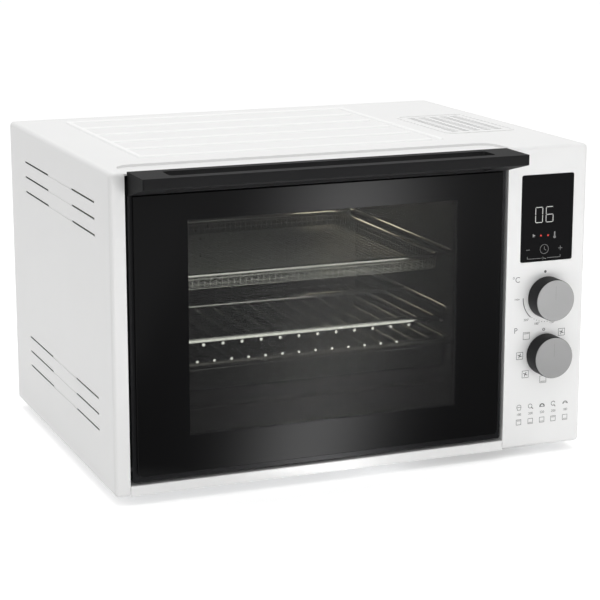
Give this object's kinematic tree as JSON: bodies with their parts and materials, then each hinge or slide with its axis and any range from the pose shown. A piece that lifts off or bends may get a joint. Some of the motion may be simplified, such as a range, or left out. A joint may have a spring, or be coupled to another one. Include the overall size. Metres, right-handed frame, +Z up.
{
  "type": "mini oven",
  "caption": "Countertop convection oven with a drop-down glass door, a full-width handle, two knobs, a touch display, a wire rack, a tray and a frying basket.",
  "frame": {"origin": "middle of the whole object's footprint, on the worktop under the feet", "axes": "+X to the user's right along the width, +Y from the user to the back, +Z up"},
  "size_m": [0.53, 0.465, 0.3414],
  "materials": {
    "white_enamel": "smooth satin white enamel",
    "zinc_sheet": "galvanised sheet",
    "foot_rubber": "matt black rubber",
    "screw_steel": "zinc-plated steel",
    "cavity_enamel": "dark grey speckled enamel",
    "seal_braid": "braided glass fibre cord",
    "mineral_wool": "needled mineral wool",
    "element_steel": "heat-darkened steel sheath",
    "clear_glass": "clear tempered glass",
    "door_glass": "tinted tempered glass with a black printed border",
    "lamp_ceramic": "white steatite",
    "motor_steel": "lacquered lamination stack",
    "shaft_steel": "ground steel",
    "fan_aluminium": "stamped aluminium",
    "nut_brass": "turned brass",
    "door_black": "satin black heat-resistant moulding",
    "handle_black": "fine-grained black plastic",
    "hinge_steel": "zinc-plated plate",
    "bright_wire": "polished chromed wire",
    "mesh_steel": "bright woven mesh",
    "tray_enamel": "glossy black enamel",
    "display_black": "glossy black touch panel",
    "board_green": "glass-epoxy circuit board",
    "carrier_white": "moulded white plastic",
    "switch_plastic": "dark moulded body",
    "knob_black": "satin black plastic",
    "cap_aluminium": "spun satin aluminium",
    "terminal_white": "natural nylon",
    "gland_black": "black nylon"
  },
  "bodies": {
    "case": {"outer_wrap": "white_enamel", "bottom_rail": "white_enamel", "base_pan": "zinc_sheet", "feet": "foot_rubber", "rear_panel": "zinc_sheet", "rear_screws": "screw_steel", "cavity_front_frame": "cavity_enamel", "cavity_wrap": "cavity_enamel", "cavity_back": "cavity_enamel", "runners": "cavity_enamel", "door_seal": "seal_braid", "cavity_insulation": "mineral_wool", "rear_insulation": "mineral_wool", "inner_partition": "zinc_sheet", "upper_element": "element_steel", "lower_element": "element_steel", "lamp_cover": "clear_glass", "lamp_bulb": "clear_glass", "lamp_holder": "lamp_ceramic", "fan_housing": "zinc_sheet", "fan_motor": "motor_steel", "left_hinge_bracket": "hinge_steel", "right_hinge_bracket": "hinge_steel", "hinge_pins": "shaft_steel", "hinge_springs": "hinge_steel", "display_window": "display_black", "display_board": "board_green", "control_carrier": "carrier_white", "thermostat": "switch_plastic", "function_switch": "switch_plastic", "power_board": "board_green", "terminal_block": "terminal_white", "cable_gland": "gland_black", "thermal_cutout": "switch_plastic"},
    "door": {"door_frame": "door_black", "outer_glass": "door_glass", "inner_glass": "clear_glass", "door_inner_panel": "cavity_enamel", "inner_glass_clips": "hinge_steel", "door_handle": "handle_black", "handle_screws": "screw_steel", "left_hinge_arm": "hinge_steel", "right_hinge_arm": "hinge_steel"},
    "temperature_control": {"temperature_spindle": "shaft_steel", "temperature_knob": "knob_black", "temperature_cap": "cap_aluminium"},
    "function_control": {"function_spindle": "shaft_steel", "function_knob": "knob_black", "function_cap": "cap_aluminium"},
    "fan_rotor": {"motor_shaft": "shaft_steel", "convection_fan": "fan_aluminium", "fan_nut": "nut_brass", "cooling_fan": "fan_aluminium"},
    "rack": {"wire_rack": "bright_wire"},
    "tray_set": {"tray": "tray_enamel", "low_grid_frame": "bright_wire", "low_grid_wires": "bright_wire"},
    "basket": {"basket_rim": "bright_wire", "basket_sides": "mesh_steel", "basket_floor": "mesh_steel"}
  },
  "joints": [
    {"name": "door_hinge", "type": "hinge", "parent": "case", "child": "door", "pos_m": [-0.03925, -0.1735, 0.036], "axis": [1, 0, 0], "range_deg": [0, 84], "stiffness_Nm_per_rad": 1, "springref_deg": -28.65},
    {"name": "temperature_turn", "type": "hinge", "parent": "case", "child": "temperature_control", "pos_m": [0.21925, -0.19, 0.1764], "axis": [0, 1, 0], "range_deg": [0, 270]},
    {"name": "function_turn", "type": "hinge", "parent": "case", "child": "function_control", "pos_m": [0.21925, -0.19, 0.1133], "axis": [0, 1, 0], "range_deg": [0, 315]},
    {"name": "fan_spin", "type": "hinge", "parent": "case", "child": "fan_rotor", "pos_m": [-0.03925, 0.18, 0.176], "axis": [0, 1, 0], "continuous": true},
    {"name": "rack_slide", "type": "slide", "parent": "case", "child": "rack", "axis": [0, -1, 0], "range_m": [0, 0.014]},
    {"name": "tray_slide", "type": "slide", "parent": "case", "child": "tray_set", "axis": [0, -1, 0], "range_m": [0, 0.013]},
    {"name": "basket_slide", "type": "slide", "parent": "case", "child": "basket", "axis": [0, -1, 0], "range_m": [0, 0.024]}
  ]
}
